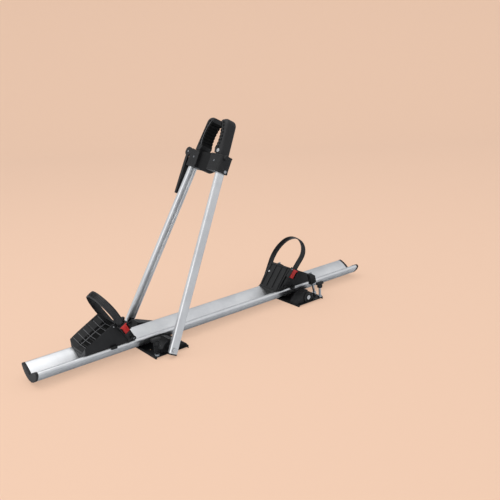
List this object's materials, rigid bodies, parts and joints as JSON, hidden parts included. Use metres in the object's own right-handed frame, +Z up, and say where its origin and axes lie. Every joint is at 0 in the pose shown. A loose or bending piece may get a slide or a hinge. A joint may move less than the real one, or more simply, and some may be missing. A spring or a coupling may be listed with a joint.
{
  "type": "bike carrier",
  "caption": "Roof-bar bicycle carrier: trough rail on clamped feet, sliding wheel cradles with ratchet straps, and a folding frame arm with clamping jaws.",
  "frame": {"origin": "middle of the rail, at the level on which the saddles' edges stand", "axes": "+X along the rail towards its rear end, +Y towards the side with the cam lever, +Z up"},
  "size_m": [1.254, 0.2858, 0.6421],
  "materials": {
    "aluminium": "satin extruded aluminium",
    "black_plastic": "black moulded nylon, fine grained",
    "black_strap": "black strap band",
    "black_rubber": "black rubber",
    "red_plastic": "red moulded plastic",
    "black_steel": "black powder coat on pressed steel",
    "zinc_steel": "zinc-plated steel",
    "chrome": "bright plated steel"
  },
  "bodies": {
    "rail": {"wheel_rail": "aluminium", "end_cap_front": "black_plastic", "end_cap_rear": "black_plastic"},
    "front_foot": {"front_saddle": "black_steel", "front_bar_pads": "black_rubber", "front_rail_bolts": "zinc_steel", "front_rail_nuts": "zinc_steel", "front_tower_near": "black_plastic", "front_tower_far": "black_plastic", "front_tower_screws": "zinc_steel", "front_studs": "zinc_steel", "pivot_bolts": "chrome", "pivot_nuts": "zinc_steel", "pivot_bushes": "black_plastic"},
    "rear_foot": {"rear_saddle": "black_steel", "rear_bar_pads": "black_rubber", "rear_rail_bolts": "zinc_steel", "rear_rail_nuts": "zinc_steel", "rear_tower_near": "black_plastic", "rear_tower_far": "black_plastic", "rear_tower_screws": "zinc_steel", "rear_studs": "zinc_steel", "rear_tower_bolts": "chrome", "hook_bolts": "zinc_steel", "hook_nuts": "chrome", "hook_caps": "black_plastic"},
    "frame": {"arm_near": "aluminium", "arm_far": "aluminium", "arm_plugs": "black_plastic", "collar_near": "black_plastic", "collar_far": "black_plastic", "bridge": "black_plastic", "clamp_rod": "zinc_steel", "clamp_nut": "black_plastic", "lever_pin": "zinc_steel", "jaw_pins": "zinc_steel", "head_rivets": "zinc_steel"},
    "jaw_near_body": {"jaw_near": "black_plastic", "jaw_pad_near": "black_rubber"},
    "jaw_far_body": {"jaw_far": "black_plastic", "jaw_pad_far": "black_rubber"},
    "lock": {"lock_barrel": "chrome"},
    "lever": {"cam_lever": "black_plastic"},
    "front_holder": {"front_cradle": "black_plastic", "front_strap": "black_strap", "front_anchor_pins": "black_plastic", "front_buckle": "black_plastic", "front_release_pin": "zinc_steel"},
    "rear_holder": {"rear_cradle": "black_plastic", "rear_strap": "black_strap", "rear_anchor_pins": "black_plastic", "rear_buckle": "black_plastic", "rear_release_pin": "zinc_steel"},
    "front_release_lever": {"front_release": "red_plastic"},
    "rear_release_lever": {"rear_release": "red_plastic"},
    "front_near_knob": {"front_knob_near": "black_plastic"},
    "front_far_knob": {"front_knob_far": "black_plastic"},
    "rear_near_knob": {"rear_knob_near": "black_plastic"},
    "rear_far_knob": {"rear_knob_far": "black_plastic"}
  },
  "joints": [
    {"name": "front_foot_slide", "type": "slide", "parent": "rail", "child": "front_foot", "axis": [1, 0, 0], "range_m": [-0.15, 0.15]},
    {"name": "rear_foot_slide", "type": "slide", "parent": "rail", "child": "rear_foot", "axis": [1, 0, 0], "range_m": [-0.2, 0.2]},
    {"name": "front_holder_slide", "type": "slide", "parent": "rail", "child": "front_holder", "axis": [1, 0, 0], "range_m": [-0.11, 0.15]},
    {"name": "rear_holder_slide", "type": "slide", "parent": "rail", "child": "rear_holder", "axis": [1, 0, 0], "range_m": [-0.15, 0.2]},
    {"name": "frame_fold", "type": "hinge", "parent": "front_foot", "child": "frame", "pos_m": [-0.2515, 0, 0.022], "axis": [0, 1, 0], "range_deg": [-35, 35]},
    {"name": "cam_lever_turn", "type": "hinge", "parent": "frame", "child": "lever", "pos_m": [0.00624, 0.0965, 0.53662], "axis": [0.8878, 0, -0.4602], "range_deg": [0, 150]},
    {"name": "jaw_far_turn", "type": "hinge", "parent": "frame", "child": "jaw_far_body", "pos_m": [0.00621, 0.052, 0.51918], "axis": [0.8878, 0, -0.4602], "range_deg": [-6.5, 0]},
    {"name": "jaw_near_turn", "type": "hinge", "parent": "frame", "child": "jaw_near_body", "pos_m": [0.00621, -0.052, 0.51918], "axis": [0.8878, 0, -0.4602], "range_deg": [0, 6.5]},
    {"name": "lock_turn", "type": "hinge", "parent": "jaw_near_body", "child": "lock", "pos_m": [0.00337, -0.052, 0.55715], "axis": [0.8878, 0, -0.4602], "range_deg": [0, 90]},
    {"name": "front_release_turn", "type": "hinge", "parent": "front_holder", "child": "front_release_lever", "pos_m": [-0.37178, -0.06938, 0.11498], "axis": [-0.8572, 0, -0.515], "range_deg": [0, 35], "stiffness_Nm_per_rad": 0.03, "springref_deg": -17.19},
    {"name": "front_near_knob_turn", "type": "hinge", "parent": "front_foot", "child": "front_near_knob", "pos_m": [-0.291, -0.104, 0.042], "axis": [0, 0, 1], "continuous": true},
    {"name": "front_far_knob_turn", "type": "hinge", "parent": "front_foot", "child": "front_far_knob", "pos_m": [-0.291, 0.104, 0.042], "axis": [0, 0, 1], "continuous": true},
    {"name": "rear_release_turn", "type": "hinge", "parent": "rear_holder", "child": "rear_release_lever", "pos_m": [0.28578, -0.06938, 0.11498], "axis": [-0.8572, 0, 0.515], "range_deg": [0, 35], "stiffness_Nm_per_rad": 0.03, "springref_deg": -17.19},
    {"name": "rear_near_knob_turn", "type": "hinge", "parent": "rear_foot", "child": "rear_near_knob", "pos_m": [0.369, -0.104, 0.042], "axis": [0, 0, 1], "continuous": true},
    {"name": "rear_far_knob_turn", "type": "hinge", "parent": "rear_foot", "child": "rear_far_knob", "pos_m": [0.369, 0.104, 0.042], "axis": [0, 0, 1], "continuous": true}
  ],
  "couplings": [
    {"joint": "jaw_far_turn", "follows": "cam_lever_turn", "ratio": -0.0433},
    {"joint": "jaw_near_turn", "follows": "cam_lever_turn", "ratio": 0.0433}
  ]
}
